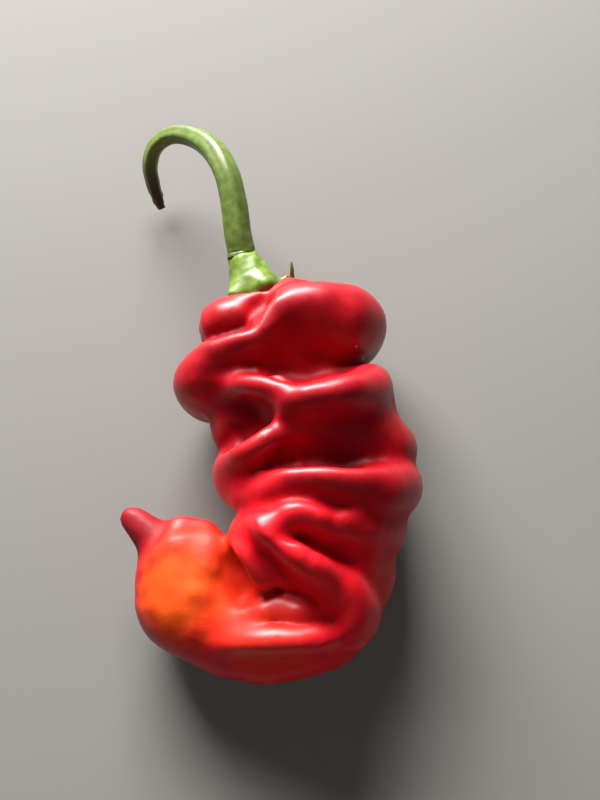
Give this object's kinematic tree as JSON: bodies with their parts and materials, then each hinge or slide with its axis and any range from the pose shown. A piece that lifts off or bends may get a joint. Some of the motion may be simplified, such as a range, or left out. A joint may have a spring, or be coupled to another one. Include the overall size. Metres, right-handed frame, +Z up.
{
  "type": "chilli pepper",
  "caption": "Wrinkled, hooked red chilli pepper with a light green calyx and a curved green stem, fresh produce that lies loose on a surface",
  "frame": {"origin": "on the surface that the pepper lies on, under the middle of its bounding box", "axes": "+Y from the curled tip of the fruit to the hook of the stem, -X the way the tip curls, +Z up"},
  "size_m": [0.0448, 0.0874, 0.0254],
  "materials": {
    "pod": "waxy, glossy red skin with deep folds, orange-red at the curled tip",
    "calyx": "smooth, slightly waxy light green",
    "stem": "satin green with soft ribs, dark brown and dry at the cut end"
  },
  "bodies": {
    "root": {"pod": "pod", "calyx": "calyx", "stem": "stem"}
  },
  "joints": []
}
